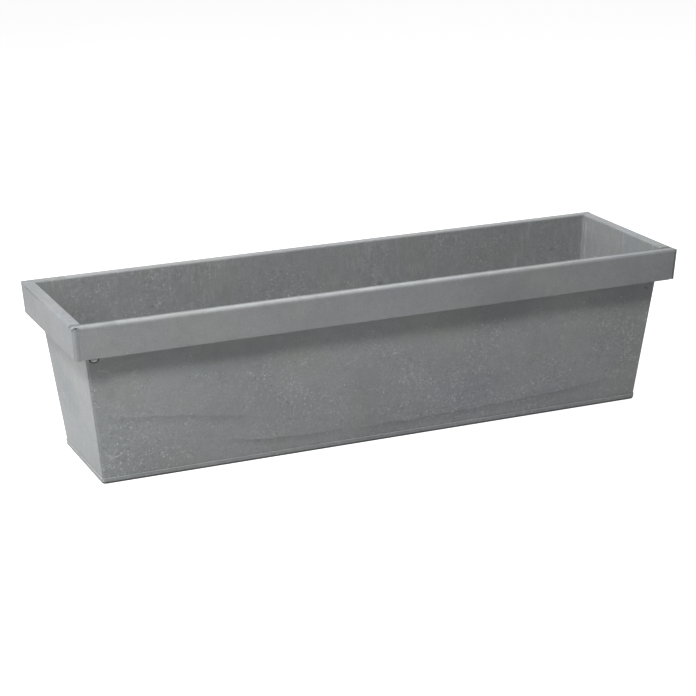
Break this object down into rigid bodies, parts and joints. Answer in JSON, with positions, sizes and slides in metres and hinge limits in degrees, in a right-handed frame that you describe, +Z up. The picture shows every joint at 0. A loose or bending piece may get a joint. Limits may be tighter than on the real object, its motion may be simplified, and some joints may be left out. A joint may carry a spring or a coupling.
{
  "type": "window box planter",
  "caption": "Long tapered window box planter folded from weathered galvanised sheet, with a flat rim, an overhanging skirt, folded corner seams and a lipped base pan.",
  "frame": {"origin": "centre of the base's underside, on the floor", "axes": "+X to the right along the planter's length, +Y to the back, +Z up"},
  "size_m": [0.7623, 0.221, 0.198],
  "materials": {
    "zinc_panel": "weathered galvanised sheet, dull",
    "zinc_base": "weathered galvanised sheet, dull",
    "zinc_cleat": "weathered galvanised strip, dull"
  },
  "bodies": {
    "root": {"front_panel": "zinc_panel", "back_panel": "zinc_panel", "left_end_panel": "zinc_panel", "right_end_panel": "zinc_panel", "base_pan": "zinc_base", "corner_cleat_front_left": "zinc_cleat", "corner_cleat_front_right": "zinc_cleat", "corner_cleat_back_left": "zinc_cleat", "corner_cleat_back_right": "zinc_cleat"}
  },
  "joints": []
}
